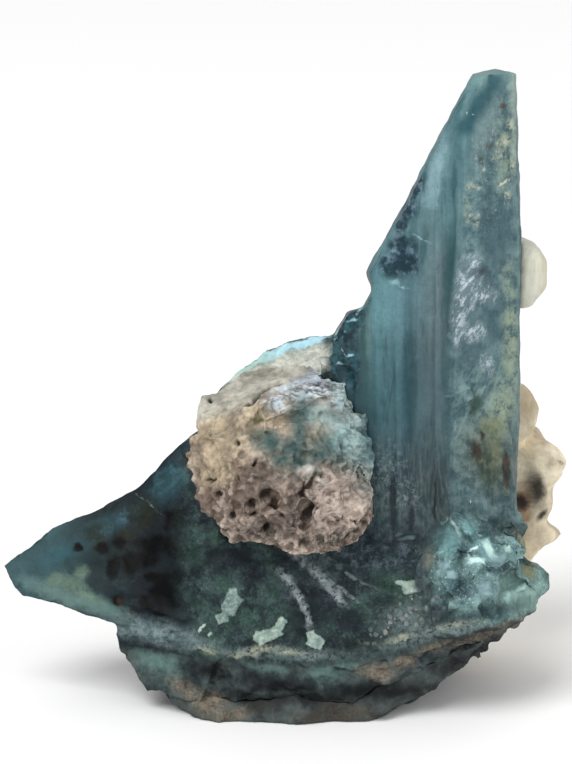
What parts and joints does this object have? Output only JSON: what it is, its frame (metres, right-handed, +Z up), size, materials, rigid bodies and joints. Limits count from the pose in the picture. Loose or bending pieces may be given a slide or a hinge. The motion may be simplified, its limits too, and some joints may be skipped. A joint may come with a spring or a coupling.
{
  "type": "grandidierite cluster",
  "caption": "Blue-green grandidierite crystals grown with cream feldspar: a tall striated blade, a wing-shaped crystal and a granular feldspar lump on a rough base with a flat resting face.",
  "frame": {"origin": "middle of the cluster's outline at the level of its resting face", "axes": "+Z up along the tall blade, +X to the right as seen from the front, +Y away from the front"},
  "size_m": [0.0522, 0.0324, 0.0587],
  "materials": {
    "grandidierite": "glassy to pearly broken crystal",
    "granular_feldspar": "dull granular",
    "cream_feldspar": "dull to waxy",
    "pale_crystal": "waxy"
  },
  "bodies": {
    "root": {"grandidierite_crystals": "grandidierite", "front_feldspar_lump": "granular_feldspar", "feldspar_base": "cream_feldspar", "side_crystal": "pale_crystal"}
  },
  "joints": []
}
